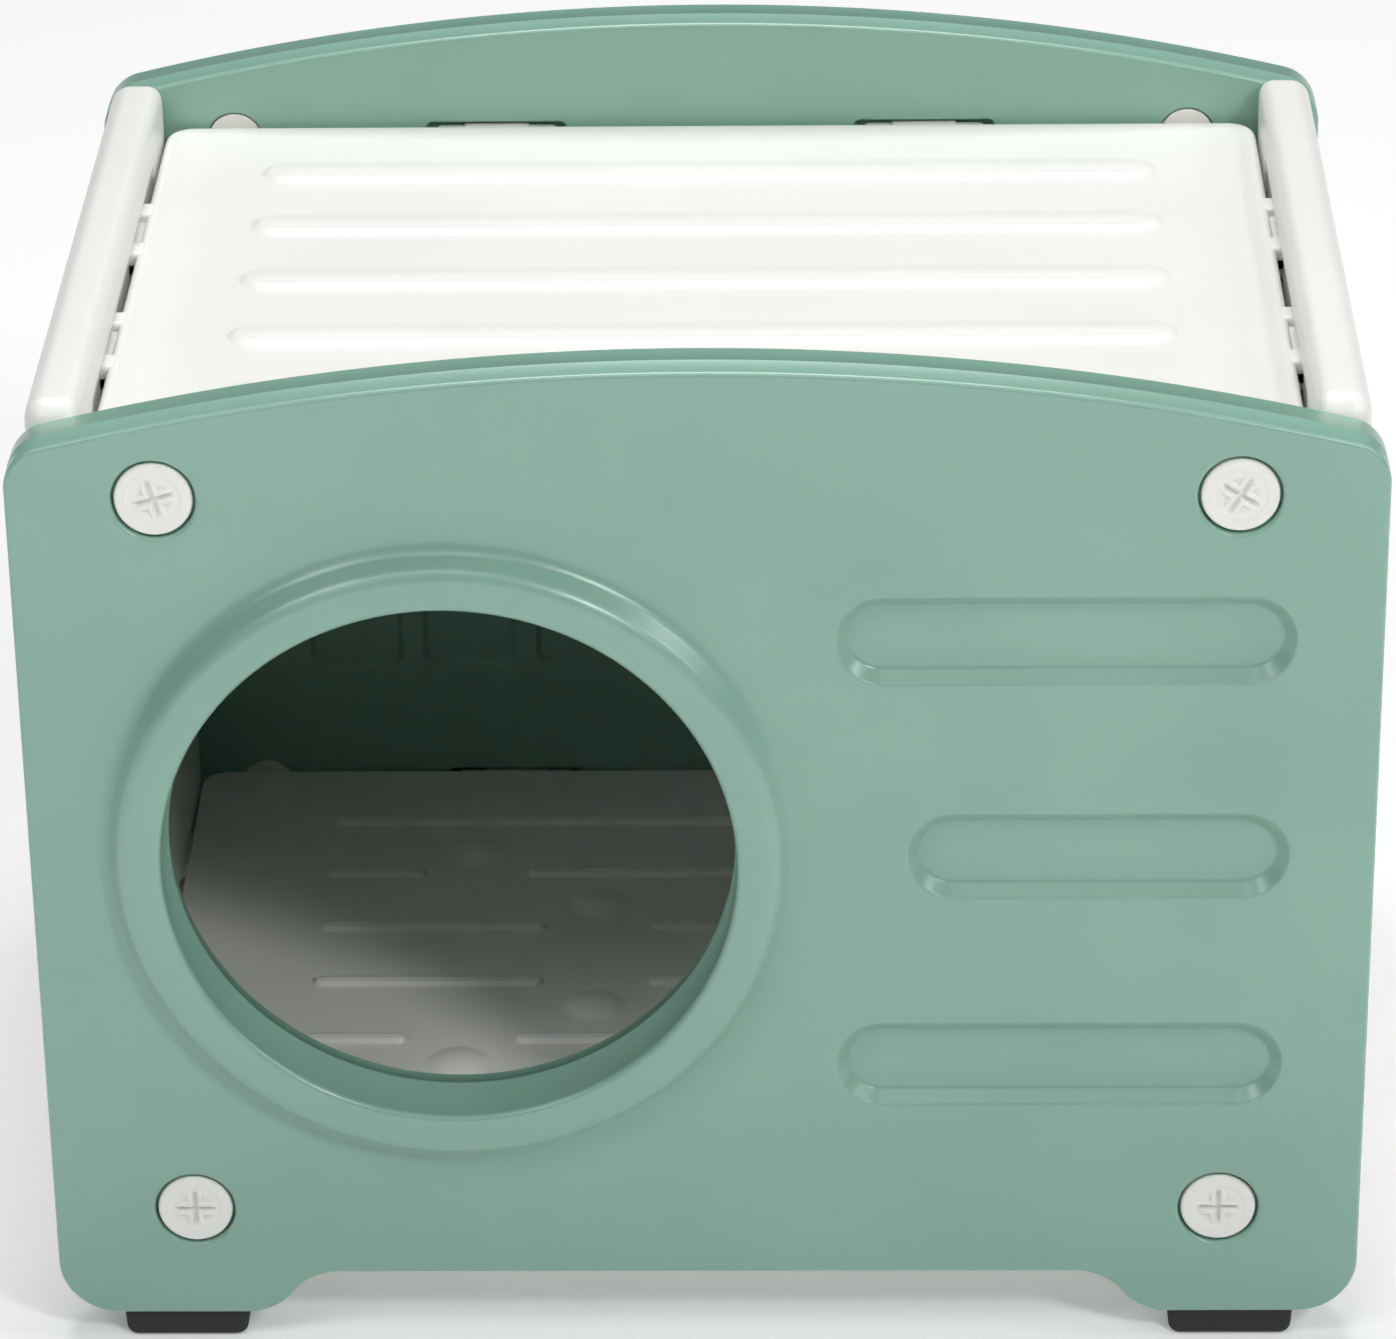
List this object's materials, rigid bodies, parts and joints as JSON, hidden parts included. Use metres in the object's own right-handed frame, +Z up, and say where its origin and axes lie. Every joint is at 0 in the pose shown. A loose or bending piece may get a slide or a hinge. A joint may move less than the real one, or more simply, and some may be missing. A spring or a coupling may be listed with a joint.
{
  "type": "small animal house",
  "caption": "Small-animal house of hollow plastic panels with a round entrance, an arched front and back, a sunken ribbed roof and rubber feet.",
  "frame": {"origin": "centre of the bounding box's footprint, on the ground under the feet", "axes": "+Z up; the entrance faces -Y; +X to the right as seen from the front"},
  "size_m": [0.52, 0.3944, 0.4265],
  "materials": {
    "green_plastic": "satin, finely grained",
    "white_plastic": "satin, finely grained",
    "screw_plastic": "satin",
    "bush_plastic": "satin",
    "black_rubber": "matt"
  },
  "bodies": {
    "root": {"front_panel": "green_plastic", "back_panel": "green_plastic", "left_side_panel": "white_plastic", "right_side_panel": "white_plastic", "roof_panel": "white_plastic", "floor_panel": "white_plastic", "screw_front_top_left": "screw_plastic", "screw_front_top_right": "screw_plastic", "screw_front_bottom_left": "screw_plastic", "screw_front_bottom_right": "screw_plastic", "screw_back_top_left": "screw_plastic", "screw_back_top_right": "screw_plastic", "screw_back_bottom_left": "screw_plastic", "screw_back_bottom_right": "screw_plastic", "bush_front_top_left": "bush_plastic", "bush_front_top_right": "bush_plastic", "bush_front_bottom_left": "bush_plastic", "bush_front_bottom_right": "bush_plastic", "bush_back_top_left": "bush_plastic", "bush_back_top_right": "bush_plastic", "bush_back_bottom_left": "bush_plastic", "bush_back_bottom_right": "bush_plastic", "foot_front_left": "black_rubber", "foot_front_right": "black_rubber", "foot_back_left": "black_rubber", "foot_back_right": "black_rubber"}
  },
  "joints": []
}
